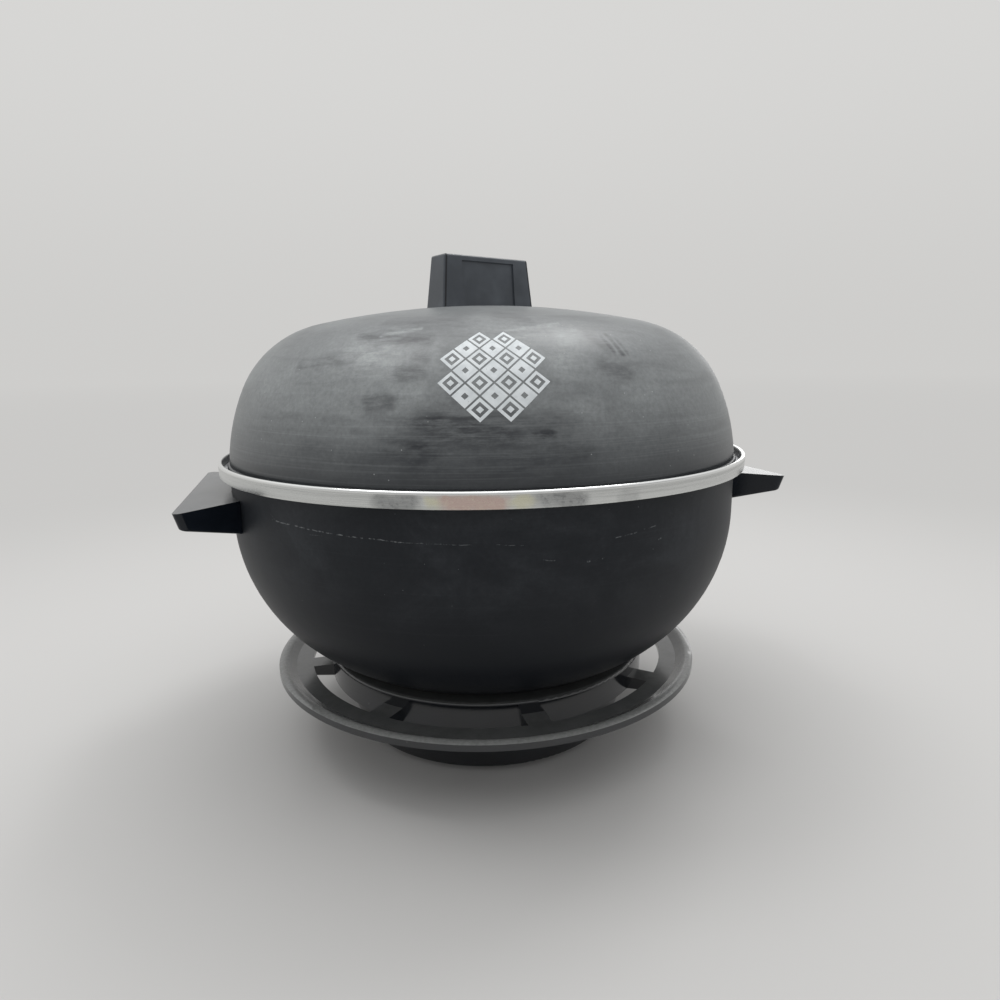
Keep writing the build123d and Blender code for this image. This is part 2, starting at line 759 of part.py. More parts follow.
with BuildPart() as knob_insert:
    with BuildSketch(Plane.XY.offset(lid_top + fit)):
        Circle(knob_insert_radius)
        Circle(knob_screw_radius + fit, mode=Mode.SUBTRACT)
    extrude(amount=knob_insert_length)
write(knob_insert, "knob_insert")

washer_top = lid_top - lid_wall - fit
with BuildPart() as knob_washer:
    with BuildSketch(Plane.XY.offset(washer_top)):
        Circle(knob_washer_radius)
        Circle(knob_screw_radius + fit, mode=Mode.SUBTRACT)
    extrude(amount=-knob_washer_thickness)
write(knob_washer, "knob_washer")

with BuildPart() as knob_screw:
    with BuildSketch(Plane.XY.offset(washer_top - knob_washer_thickness)):
        Circle(knob_screw_head_radius)
    extrude(amount=-knob_screw_head_height)
    chamfer(knob_screw.faces().sort_by(Axis.Z)[0].edges(), knob_screw_head_edge)
    with BuildSketch(Plane.XY.offset(washer_top - knob_washer_thickness)):
        Circle(knob_screw_radius)
    extrude(amount=knob_screw_length)
write(knob_screw, "knob_screw")

# Studs welded under the bowl, which carry the heater stack and the housing
with BuildPart() as bowl_studs:
    with BuildSketch(Plane.XY.offset(stud_bottom)):
        with PolarLocations(stud_circle, stud_count, start_angle=stud_turn):
            Circle(stud_radius)
    extrude(amount=bowl_bottom - stud_bottom)
write(bowl_studs, "bowl_studs")

with BuildPart() as stud_washers:
    with BuildSketch(Plane.XY.offset(web_bottom)):
        with PolarLocations(stud_circle, stud_count, start_angle=stud_turn):
            Circle(stud_washer_radius)
            Circle(stud_radius + fit, mode=Mode.SUBTRACT)
    extrude(amount=-stud_washer_thickness)
write(stud_washers, "stud_washers")

with BuildPart() as stud_nuts:
    with BuildSketch(Plane.XY.offset(web_bottom - stud_washer_thickness)):
        with PolarLocations(stud_circle, stud_count, start_angle=stud_turn):
            RegularPolygon(stud_nut_width / 2, 6, major_radius=False)
            Circle(stud_radius + fit, mode=Mode.SUBTRACT)
    extrude(amount=-stud_nut_height)
write(stud_nuts, "stud_nuts")

# Heating element: a sheathed tube bent to an open ring, with both ends turned down
ring_start = Vector(*polar(element_ring_radius, 180 - leg_angle), element_z)
ring_end = Vector(*polar(element_ring_radius, leg_angle), element_z)
with BuildPart() as heating_element:
    with BuildLine() as element_path:
        left_bend = Vector(-leg_x, leg_y, element_z - element_bend_radius)
        right_bend = Vector(leg_x, leg_y, element_z - element_bend_radius)
        Line((-leg_x, leg_y, element_leg_end), left_bend)
        TangentArc(left_bend, ring_start, tangent=(0, 0, 1))
        CenterArc((0, 0, element_z), element_ring_radius, 180 - leg_angle, 180 + 2 * leg_angle)
        TangentArc(right_bend, ring_end, tangent=(0, 0, 1))
        Line(right_bend, (leg_x, leg_y, element_leg_end))
    with BuildSketch(Plane.XY.offset(element_leg_end)):
        with Locations((-leg_x, leg_y)):
            Circle(element_tube_radius)
    sweep(path=element_path.line)
    with BuildSketch(Plane.XY.offset(element_leg_end)):
        with Locations((-leg_x, leg_y), (leg_x, leg_y)):
            Circle(element_pin_radius)
    extrude(amount=-element_pin_length)
write(heating_element, "heating_element")

# Clamp plate, which presses the element and the thermostat against the bowl
with BuildPart() as clamp_plate:
    with BuildSketch(Plane.XY.offset(clamp_bottom)):
        Circle(clamp_radius)
        Circle(thermostat_body_radius + running, mode=Mode.SUBTRACT)
        with PolarLocations(stud_circle, stud_count, start_angle=stud_turn):
            Circle(stud_radius + fit, mode=Mode.SUBTRACT)
        with Locations((0, clamp_notch_inner)):
            Rectangle(clamp_notch_width, clamp_radius, align=(Align.CENTER, Align.MIN), mode=Mode.SUBTRACT)
    extrude(amount=clamp_thickness)
write(clamp_plate, "clamp_plate")

with BuildPart() as stud_spacers:
    with BuildSketch(Plane.XY.offset(pan_top)):
        with PolarLocations(stud_circle, stud_count, start_angle=stud_turn):
            Circle(spacer_radius)
            Circle(stud_radius + fit, mode=Mode.SUBTRACT)
    extrude(amount=spacer_height)
write(stud_spacers, "stud_spacers")

# Reflector pan and the insulating disc under it
pan_corner_inside = pan_corner + pan_thickness * (sqrt(2) - 1)
with BuildPart() as reflector_pan:
    with BuildSketch(Plane.XZ):
        with BuildLine():
            Polyline(
                (0, pan_bottom),
                (pan_radius - pan_corner, pan_bottom),
                (pan_radius, pan_bottom + pan_corner),
                (pan_radius, pan_bottom + pan_rim_height),
                (pan_radius - pan_thickness, pan_bottom + pan_rim_height),
                (pan_radius - pan_thickness, pan_bottom + pan_corner_inside),
                (pan_radius - pan_corner_inside, pan_top),
                (0, pan_top),
                close=True,
            )
        make_face()
    revolve(axis=Axis.Z)
    with BuildSketch(Plane.XY.offset(pan_bottom)):
        Circle(lead_hole_radius)
        with PolarLocations(stud_circle, stud_count, start_angle=stud_turn):
            Circle(stud_radius + fit)
        with Locations((leg_x, leg_y), (-leg_x, leg_y)):
            Circle(leg_hole_radius)
    extrude(amount=pan_thickness, mode=Mode.SUBTRACT)
write(reflector_pan, "reflector_pan")

with BuildPart() as insulating_disc:
    with BuildSketch(Plane.XY.offset(web_top)):
        Circle(insulation_radius)
        Circle(lead_hole_radius, mode=Mode.SUBTRACT)
        with PolarLocations(stud_circle, stud_count, start_angle=stud_turn):
            Circle(stud_radius + fit, mode=Mode.SUBTRACT)
        with Locations((leg_x, leg_y), (-leg_x, leg_y)):
            Circle(leg_hole_radius, mode=Mode.SUBTRACT)
    extrude(amount=insulation_thickness)
write(insulating_disc, "insulating_disc")

# Thermostat: a metal cap against the bowl, a ceramic body and two blades
with BuildPart() as thermostat:
    with BuildSketch(Plane.XY.offset(clamp_top)):
        Circle(thermostat_cap_radius)
    extrude(amount=bowl_bottom - fit - clamp_top)
    chamfer(thermostat.faces().sort_by(Axis.Z)[-1].edges(), thermostat_edge)
    with BuildSketch(Plane.XY.offset(clamp_top)):
        Circle(thermostat_body_radius)
    extrude(amount=-thermostat_body_length)
    with BuildSketch(Plane.XY.offset(clamp_top - thermostat_body_length)):
        with GridLocations(thermostat_blade_spacing, 0, 2, 1):
            Rectangle(thermostat_blade_thickness, thermostat_blade_width)
    extrude(amount=-thermostat_blade_length)
write(thermostat, "thermostat")

# Inlet: shroud with its flange, two pins and two screws
flange_face = inlet_pad_face - inlet_flange_thickness
socket_width = inlet_width - 2 * inlet_wall
socket_height = inlet_opening_height - 2 * inlet_wall

with BuildPart() as inlet_shroud:
    with BuildSketch(Plane.XZ.offset(-flange_face)):
        with Locations((0, inlet_level)):
            Rectangle(inlet_flange_width, inlet_flange_height)
    extrude(amount=-inlet_flange_thickness)
    with BuildSketch(Plane.XZ.offset(-inlet_pad_face)):
        with Locations((0, inlet_level)):
            Rectangle(inlet_width, inlet_opening_height)
    extrude(amount=-(inlet_mouth - inlet_pad_face))
    shroud_corners = inlet_shroud.edges().filter_by(Axis.Y)
    fillet(shroud_corners.filter_by(lambda edge: edge.center().Y > inlet_pad_face), inlet_wall)
    with BuildSketch(Plane.XZ.offset(-inlet_floor)):
        with Locations((0, inlet_level)):
            RectangleRounded(socket_width, socket_height, inlet_wall / 2)
    extrude(amount=-(inlet_mouth - inlet_floor), mode=Mode.SUBTRACT)
    with BuildSketch(Plane.XZ.offset(-flange_face)):
        with Locations((pin_spacing / 2, inlet_level), (-pin_spacing / 2, inlet_level)):
            Circle(pin_shank_radius + fit / 2)
    extrude(amount=-inlet_floor, mode=Mode.SUBTRACT)
    with BuildSketch(Plane.XZ.offset(-flange_face)):
        with Locations((inlet_screw_spacing / 2, inlet_level), (-inlet_screw_spacing / 2, inlet_level)):
            Circle(inlet_screw_radius + fit)
    extrude(amount=-inlet_flange_thickness, mode=Mode.SUBTRACT)
write(inlet_shroud, "inlet_shroud")

with BuildPart() as inlet_pins:
    with BuildSketch(Plane.XZ.offset(-pin_inner_end)):
        with Locations((pin_spacing / 2, inlet_level), (-pin_spacing / 2, inlet_level)):
            Circle(pin_shank_radius)
    extrude(amount=-(inlet_floor - pin_inner_end))
    with BuildSketch(Plane.XZ.offset(-inlet_floor)):
        with Locations((pin_spacing / 2, inlet_level), (-pin_spacing / 2, inlet_level)):
            Circle(pin_radius)
    extrude(amount=-(pin_outer_end - inlet_floor))
    chamfer(inlet_pins.faces().sort_by(Axis.Y)[-2:].edges(), pin_radius / 2)
write(inlet_pins, "inlet_pins")

with BuildPart() as inlet_screws:
    with BuildSketch(Plane.XZ.offset(-flange_face)):
        with Locations((inlet_screw_spacing / 2, inlet_level), (-inlet_screw_spacing / 2, inlet_level)):
            Circle(inlet_screw_head_radius)
    extrude(amount=inlet_screw_head_height)
    with BuildSketch(Plane.XZ.offset(-flange_face)):
        with Locations((inlet_screw_spacing / 2, inlet_level), (-inlet_screw_spacing / 2, inlet_level)):
            Circle(inlet_screw_radius)
    extrude(amount=-inlet_screw_length)
write(inlet_screws, "inlet_screws")

# Thermal fuse and the clip that hangs it from the web
fuse_end = fuse_start + fuse_length
with BuildPart() as thermal_fuse:
    with BuildSketch(Plane.XZ.offset(-fuse_start)):
        with Locations((fuse_x, wire_level)):
            Circle(fuse_radius)
    extrude(amount=-fuse_length)
    with BuildSketch(Plane.XZ.offset(fuse_lead_length - fuse_start)):
        with Locations((fuse_x, wire_level)):
            Circle(fuse_lead_radius)
    extrude(amount=-(fuse_length + 2 * fuse_lead_length))
write(thermal_fuse, "thermal_fuse")

with BuildPart() as fuse_clip:
    clip_radius = fuse_radius + fit + clip_wall
    with BuildSketch(Plane.XZ.offset(clip_width / 2 - fuse_start - fuse_length / 2)):
        with Locations((fuse_x, wire_level)):
            Circle(clip_radius)
        with Locations((fuse_x, (wire_level + web_bottom) / 2)):
            Rectangle(clip_wall, web_bottom - wire_level)
        with Locations((fuse_x, web_bottom)):
            Rectangle(clip_foot, clip_wall, align=(Align.CENTER, Align.MAX))
        with Locations((fuse_x, wire_level)):
            Circle(fuse_radius + fit, mode=Mode.SUBTRACT)
    extrude(amount=-clip_width)
write(fuse_clip, "fuse_clip")

# Lead wires between inlet, fuse, thermostat and element
pin_x = pin_spacing / 2
blade_x = thermostat_blade_spacing / 2
wire_end = element_leg_end - element_pin_length
wire_routes = (
    (
        (pin_x, pin_inner_end, inlet_level),
        (pin_x, pin_inner_end - wire_lead, inlet_level),
        (leg_x, leg_y + wire_turn, wire_level),
        (leg_x, leg_y, wire_level - wire_dip),
        (leg_x, leg_y, wire_end),
    ),
    (
        (-pin_x, pin_inner_end, inlet_level),
        (-pin_x, pin_inner_end - wire_lead, inlet_level),
        (fuse_x, fuse_end + fuse_lead_length + wire_lead, wire_level),
        (fuse_x, fuse_end + fuse_lead_length, wire_level),
    ),
    (
        (fuse_x, fuse_start - fuse_lead_length, wire_level),
        (fuse_x, fuse_start - fuse_lead_length - wire_lead, wire_level),
        (-blade_x, 0, wire_level),
        (-blade_x, 0, blade_end),
    ),
    (
        (blade_x, 0, blade_end),
        (blade_x, 0, wire_level),
        (blade_x, stud_circle / 2, wire_level),
        (-leg_x, leg_y - wire_turn, wire_level),
        (-leg_x, leg_y, wire_level - wire_dip),
        (-leg_x, leg_y, wire_end),
    ),
)
with BuildPart() as lead_wires:
    for route in wire_routes:
        with BuildLine() as wire_path:
            FilletPolyline(*route, radius=wire_bend)
        with BuildSketch(Plane(origin=wire_path.line @ 0, z_dir=wire_path.line % 0)):
            Circle(wire_radius)
        sweep(path=wire_path.line)
write(lead_wires, "lead_wires")
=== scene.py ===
from math import cos, pi, radians, sin

import bpy
from mathutils import Matrix, Vector


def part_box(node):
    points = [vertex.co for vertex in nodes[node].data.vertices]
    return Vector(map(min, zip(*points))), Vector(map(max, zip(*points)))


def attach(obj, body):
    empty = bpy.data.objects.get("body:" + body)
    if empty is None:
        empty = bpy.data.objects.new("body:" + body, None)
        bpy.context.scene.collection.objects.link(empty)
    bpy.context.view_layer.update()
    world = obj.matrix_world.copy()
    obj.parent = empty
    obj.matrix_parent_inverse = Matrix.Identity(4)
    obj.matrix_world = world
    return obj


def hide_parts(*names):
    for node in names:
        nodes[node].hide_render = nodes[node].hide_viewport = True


# The looks of a table-top electric bun warmer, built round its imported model.
# Metres, +Z up, with the origin on the table under the bowl's axis and -Y to the front.

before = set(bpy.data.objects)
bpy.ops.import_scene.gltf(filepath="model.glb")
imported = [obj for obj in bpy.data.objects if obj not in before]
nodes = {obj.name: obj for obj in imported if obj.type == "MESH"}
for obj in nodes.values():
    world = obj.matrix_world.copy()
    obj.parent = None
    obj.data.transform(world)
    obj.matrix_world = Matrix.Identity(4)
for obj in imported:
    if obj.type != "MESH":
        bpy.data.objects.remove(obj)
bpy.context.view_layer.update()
MM = 0.001

rim_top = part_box("rim_band")[1].z

# Lid's outer profile: shoulder and skirt arcs, tangent to each other
lid_radius = 125.8 * MM
shoulder_radius = 51.4 * MM
skirt_radius = 99.6 * MM
shoulder_angle = radians(24.0)
skirt_lean = radians(4.55)
skirt_r = lid_radius - skirt_radius * cos(skirt_lean)
skirt_z = rim_top - skirt_radius * sin(skirt_lean)
shoulder_r = skirt_r + (skirt_radius - shoulder_radius) * cos(shoulder_angle)
shoulder_z = skirt_z + (skirt_radius - shoulder_radius) * sin(shoulder_angle)
bead_top = rim_top - 2.8 * MM

# Band's section, in mm of reach and of height over the rim's crest
band_outer = 131.0
band_foot = 130.7
band_inner = 129.0
ledge_inner = 126.9
ledge_top = -5.6
band_bottom = -6.6
roll_radius = 1.0
roll_steps = 18
edge_round = 0.3
edge_steps = 4
band_turns = 288
band_crease = radians(35)

# Knob's heading, its half length at the top, and what that gains on the way down
knob_turn = radians(21.0)
knob_half = 25.0 * MM
knob_taper = 2.5 / 25.2
knob_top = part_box("lid_knob")[1].z

# Printed ornament: its place on the lid, and its lozenges
ornament_turn = -101.8
ornament_angle = radians(34.6)
ornament_proud = 0.06 * MM
ornament_back = -0.06 * MM
ornament_crease = radians(40)
lattice_reach = 3
lozenge_half = 5.1 * MM
lozenge_share = 0.90
frame_width = 1.15 * MM * 1.414        # along the lozenge's diagonals
dot_half = 1.35 * MM
side_steps = 6

# Camera at the photograph's viewpoint
camera_distance = 366.0 * MM
camera_above_rim = 44.15 * MM
camera_turn = radians(13.9)
camera_yaw = radians(15.21)
camera_pitch = radians(11.35)
camera_roll = radians(0.72)
camera_lens = 24.98
camera_sensor = 36.0


def make_camera():
    """The photograph's camera: its place, and the way it faces, dips and rolls."""
    data = bpy.data.cameras.new("camera")
    data.lens = camera_lens
    data.sensor_width = camera_sensor
    data.clip_start = 0.01
    data.clip_end = 50.0
    camera = bpy.data.objects.new("camera", data)
    bpy.context.scene.collection.objects.link(camera)
    forward = Vector((
        sin(camera_yaw) * cos(camera_pitch),
        cos(camera_yaw) * cos(camera_pitch),
        -sin(camera_pitch),
    ))
    level_right = Vector((cos(camera_yaw), -sin(camera_yaw), 0))
    level_up = level_right.cross(forward)
    right = cos(camera_roll) * level_right - sin(camera_roll) * level_up
    up = sin(camera_roll) * level_right + cos(camera_roll) * level_up
    turn = Matrix((right, up, -forward)).transposed().to_4x4()
    place = Vector((
        -camera_distance * sin(camera_turn),
        -camera_distance * cos(camera_turn),
        rim_top + camera_above_rim,
    ))
    camera.matrix_world = Matrix.Translation(place) @ turn
    bpy.context.scene.camera = camera


# Short ways to add and link shader nodes

spread_radius = 0.12        # headings are laid out for noise as on a circle of this radius


class Shader:
    """One material or world in the making. A socket takes a value or another node's output."""

    def __init__(self, owner):
        owner.use_nodes = True
        self.tree = owner.node_tree
        self.tree.nodes.clear()

    def node(self, kind, inputs=None, **settings):
        made = self.tree.nodes.new(kind)
        for key, value in settings.items():
            setattr(made, key, value)
        for socket, value in (inputs or {}).items():
            self.put(made.inputs[socket], value)
        return made

    def put(self, socket, value):
        if isinstance(value, bpy.types.NodeSocket):
            self.tree.links.new(value, socket)
        elif socket.type == "RGBA" and len(value) == 3:
            socket.default_value = (*value, 1.0)
        else:
            socket.default_value = value

    def math(self, operation, a, b=0.0, c=0.0):
        return self.node("ShaderNodeMath", {0: a, 1: b, 2: c}, operation=operation).outputs[0]

    def plus(self, a, b):
        return self.math("ADD", a, b)

    def minus(self, a, b):
        return self.math("SUBTRACT", a, b)

    def times(self, a, b):
        return self.math("MULTIPLY", a, b)

    def linear(self, value, gain, offset):
        return self.math("MULTIPLY_ADD", value, gain, offset)

    def larger(self, a, b):
        return self.math("MAXIMUM", a, b)

    def at_most(self, value, most):
        return self.math("MINIMUM", value, most)

    def clamped(self, value):
        return self.at_most(self.larger(value, 0.0), 1.0)

    def ramp(self, value, low, high, out_low=0.0, out_high=1.0):
        """A smooth step of the value from low to high."""
        inputs = {
            "Value": value, "From Min": low, "From Max": high,
            "To Min": out_low, "To Max": out_high,
        }
        made = self.node("ShaderNodeMapRange", inputs, interpolation_type="SMOOTHSTEP")
        return made.outputs["Result"]

    def blend(self, share, a, b):
        """A colour between a and b. The Mix node's colours go in at 6 and 7, and out at 2."""
        made = self.node("ShaderNodeMix", data_type="RGBA")
        self.put(made.inputs["Factor"], share)
        self.put(made.inputs[6], a)
        self.put(made.inputs[7], b)
        return made.outputs[2]

    def vector(self, operation, *values):
        """A vector operation. A length or a dot product comes out as a number."""
        made = self.node("ShaderNodeVectorMath", dict(enumerate(values)), operation=operation)
        return made.outputs["Value" if operation in ("LENGTH", "DOT_PRODUCT") else "Vector"]

    def scaled(self, place, scale):
        return self.vector("MULTIPLY", place, scale)

    def parts(self, place):
        return self.node("ShaderNodeSeparateXYZ", {0: place}).outputs

    def joined(self, x, y, z):
        return self.node("ShaderNodeCombineXYZ", {"X": x, "Y": y, "Z": z}).outputs[0]

    def place(self):
        """Position in the piece's own frame, in metres."""
        return self.node("ShaderNodeTexCoord").outputs["Object"]

    def height(self, place):
        return self.parts(place)["Z"]

    def reach(self, place):
        """Distance from the upright axis."""
        return self.vector("LENGTH", self.scaled(place, (1, 1, 0)))

    def turned(self, place):
        """Coordinates of a spun piece: its profile, and the heading as a point on a circle."""
        heading = self.parts(self.vector("NORMALIZE", self.scaled(place, (1, 1, 0))))
        return self.joined(
            self.minus(self.reach(place), self.height(place)),
            self.times(heading["X"], spread_radius),
            self.times(heading["Y"], spread_radius),
        )

    def unrolled(self, place, radius):
        """A round wall laid flat: way round from +X in metres, height, zero."""
        parts = self.parts(place)
        heading = self.math("ARCTAN2", parts["Y"], parts["X"])
        return self.joined(self.times(heading, radius), parts["Z"], 0.0)

    def noise(self, place, scale, detail=2.0, rough=0.5, distortion=0.0):
        inputs = {
            "Vector": place, "Scale": scale, "Detail": detail, "Roughness": rough,
            "Distortion": distortion,
        }
        return self.node("ShaderNodeTexNoise", inputs).outputs["Fac"]

    def spun_noise(self, spun, along, around, detail=2.0, rough=0.5, distortion=0.0):
        """Noise on a spun piece, with its own scale along the profile and around the axis."""
        stretched = self.scaled(spun, (along, around, around))
        return self.noise(stretched, 1.0, detail, rough, distortion)

    def spun_patches(self, spun, along, around, low, high, **noise):
        """0 to 1 in soft patches, as the noise on a spun piece goes from low to high."""
        return self.ramp(self.spun_noise(spun, along, around, **noise), low, high)

    def shaken(self, place, scale, reach):
        """The place pushed about by a noise, so that a mark's edge isn't even."""
        inputs = {"Vector": place, "Scale": scale, "Detail": 3.0}
        cloud = self.node("ShaderNodeTexNoise", inputs).outputs["Color"]
        centred = self.vector("SUBTRACT", cloud, (0.5, 0.5, 0.5))
        return self.vector("MULTIPLY_ADD", centred, (reach, reach, 0.0), place)

    def marks(self, flat, radius, rows):
        """Soft strokes on an unrolled wall."""
        total = 0.0
        for start_turn, start_height, end_turn, end_height, width, strength in rows:
            start = Vector((radians(start_turn) * radius, start_height * MM, 0.0))
            run = Vector((radians(end_turn) * radius, end_height * MM, 0.0)) - start
            away = self.vector("SUBTRACT", flat, start)
            along = self.vector("DOT_PRODUCT", away, run / max(run.length_squared, 1e-12))
            off = self.vector("MULTIPLY_ADD", self.clamped(along), -run, away)
            gap = self.vector("LENGTH", off)
            stroke = self.ramp(gap, width * MM, width * MM * 0.15, 0.0, strength)
            total = self.plus(total, stroke)
        return total

    def specks(self, place, scale, size, share):
        """Small dots in a share of the cells of a random grid."""
        made = self.node("ShaderNodeTexVoronoi", {"Vector": place, "Scale": scale})
        dot = self.ramp(made.outputs["Distance"], size, size * 0.5)
        pick = self.node("ShaderNodeSeparateColor", {0: made.outputs["Color"]}).outputs[0]
        return self.times(dot, self.math("GREATER_THAN", pick, 1.0 - share))

    def normal(self):
        return self.node("ShaderNodeNewGeometry").outputs["Normal"]

    def outward(self, place, centre):
        """1 where the surface faces away from a point, 0 where it faces the point."""
        away = self.vector("SUBTRACT", place, centre)
        facing = self.vector("DOT_PRODUCT", self.normal(), away)
        return self.math("GREATER_THAN", facing, 0.0)

    def facing_up(self, low, high):
        """How far the surface looks up, as a smooth step."""
        return self.ramp(self.height(self.normal()), low, high)

    def bump(self, height, strength, distance):
        inputs = {"Height": height, "Strength": strength, "Distance": distance}
        return self.node("ShaderNodeBump", inputs).outputs["Normal"]

    def surface(self, **sockets):
        """The finished surface. Names are Principled sockets with underscores for spaces."""
        made = self.node("ShaderNodeBsdfPrincipled")
        for name, value in sockets.items():
            self.put(made.inputs[name.replace("_", " ")], value)
        self.node("ShaderNodeOutputMaterial", {"Surface": made.outputs[0]})


def material(name):
    """A new material, and the shader to make it with."""
    made = bpy.data.materials.new(name)
    return made, Shader(made)


# Materials

# Radii at which the marked walls are laid flat
mark_radius = 113.8 * MM
bowl_radius = 126.0 * MM
band_radius = band_outer * MM

# Where the lid was touched, with painted highlights and painted shade among the marks. A row of
# marks is a stroke's two ends, each in degrees round from +X and in mm of height, then its width
# in mm and its strength.
# Painted highlights, where the two overhead lamps reflect on the shoulder, stand among these pale
# smears
pale_smears_and_highlights = [
    (-131.0, 197.7, -124.0, 199.0, 11.0, 0.26), (-127.0, 190.9, -121.0, 188.5, 8.0, 0.22),
    (-118.0, 178.5, -116.0, 180.0, 7.0, 0.22), (-86.4, 200.0, -83.0, 200.5, 6.0, 0.34),
    (-89.0, 189.0, -86.5, 194.0, 9.0, 0.26), (-88.0, 174.0, -84.0, 175.5, 7.0, 0.16),
    (-76.0, 177.0, -70.0, 178.0, 10.0, 0.10), (-152.0, 186.0, -128.0, 181.0, 18.0, 0.08),
    (-105.0, 205.0, -96.0, 203.0, 7.0, 0.14), (-113.0, 196.0, -109.0, 186.0, 6.0, 0.08),
]
pale_lines = [
    (-98.3, 202.3, -85.0, 205.0, 1.2, 0.34), (-126.5, 201.0, -117.8, 203.4, 1.3, 0.36),
    (-97.0, 199.6, -90.0, 201.4, 0.9, 0.20), (-129.0, 195.0, -120.0, 194.2, 1.0, 0.14),
]
# The two broad patches low on the front, across the middle, are painted shade among these dark
# smears
dark_smears_and_shade = [
    (-144.0, 190.6, -131.0, 191.4, 4.5, 0.22), (-132.0, 200.6, -114.5, 198.2, 3.6, 0.26),
    (-119.5, 187.6, -115.5, 186.6, 4.6, 0.26), (-116.4, 192.8, -114.6, 192.2, 3.6, 0.24),
    (-124.0, 175.6, -120.0, 177.2, 5.2, 0.30), (-137.0, 158.6, -113.0, 157.4, 7.5, 0.14),
    (-113.0, 170.0, -101.0, 168.0, 10.0, 0.14), (-112.0, 163.0, -92.0, 160.0, 22.0, 0.20),
    (-79.4, 199.0, -77.6, 196.2, 4.6, 0.24), (-79.5, 188.0, -75.5, 187.0, 7.0, 0.20),
    (-94.5, 165.6, -92.0, 165.2, 2.6, 0.20), (-80.0, 164.4, -77.8, 163.6, 6.0, 0.12),
    (-110.5, 193.0, -107.5, 178.0, 7.0, 0.16), (-150.0, 171.0, -111.0, 170.2, 2.6, 0.08),
    (-128.0, 206.0, -110.0, 206.5, 5.0, 0.10), (-100.0, 207.5, -92.0, 206.0, 4.0, 0.12),
]
finger_strokes = [
    (-76.6, 199.6, -75.8, 194.4, 1.7, 0.26), (-74.8, 200.4, -74.0, 193.0, 1.9, 0.30),
    (-73.0, 198.6, -72.7, 193.8, 1.5, 0.20), (-127.0, 166.8, -113.5, 161.0, 2.4, 0.12),
]
# Fine scratches on the bowl
bowl_scratches = [
    (-147.0, 132.0, -145.2, 129.4, 0.30, 0.6), (-145.2, 129.4, -138.0, 128.9, 0.34, 0.9),
    (-138.0, 128.9, -129.3, 128.0, 0.30, 0.8), (-129.3, 128.0, -118.0, 127.2, 0.30, 0.9),
    (-118.0, 127.2, -106.0, 126.6, 0.22, 0.5), (-102.0, 126.4, -97.0, 126.2, 0.22, 0.5),
    (-81.1, 125.8, -76.0, 126.6, 0.28, 0.7), (-75.2, 127.2, -72.6, 128.0, 0.26, 0.6),
    (-94.6, 120.2, -92.4, 119.8, 0.40, 0.5), (-86.4, 118.4, -86.0, 118.2, 0.50, 0.8),
    (-83.6, 118.6, -83.3, 118.5, 0.45, 0.7), (-71.6, 122.2, -71.1, 122.4, 0.50, 0.7),
    (-136.0, 126.6, -133.0, 127.0, 0.20, 0.4),
]
# Tarnish on the band
rosy_tarnish = [
    (-109.6, 143.0, -101.6, 143.0, 5.5, 0.9), (-104.0, 142.0, -101.5, 142.0, 4.0, 0.2),
]
straw_tarnish = [
    (-112.0, 143.0, -111.8, 143.0, 3.8, 0.6), (-98.6, 143.0, -97.4, 143.0, 5.0, 0.6),
]
dull_tarnish = [
    (-120.0, 143.0, -115.4, 143.0, 6.0, 1.0), (-94.6, 143.0, -93.0, 143.0, 6.0, 0.9),
    (-91.0, 143.0, -88.8, 143.0, 5.5, 1.0), (-81.0, 141.8, -79.0, 141.6, 4.0, 0.4),
]

bare_colour = (0.62, 0.63, 0.64)
bare_rough = 0.40
lid_inside_point = (0.0, 0.0, rim_top - 20 * MM)
bowl_inside_point = (0.0, 0.0, rim_top + 60 * MM)


def enamel(sh, painted, colour, rough, level, height):
    """Paint where painted is 1, and bare spun aluminium elsewhere."""
    sh.surface(
        Base_Color=sh.blend(painted, bare_colour, colour),
        Metallic=sh.minus(1.0, painted),
        Roughness=sh.linear(painted, sh.minus(rough, bare_rough), bare_rough),
        Specular_IOR_Level=level,
        Normal=sh.bump(height, 0.12, 0.1 * MM),
    )


def paint_relief(sh, place, spun, along, around, peel):
    """Rings of the spun metal that show faintly through, and the paint's own texture."""
    grain = sh.spun_noise(spun, along, around)
    return sh.plus(sh.times(grain, 0.4), sh.noise(place, peel))


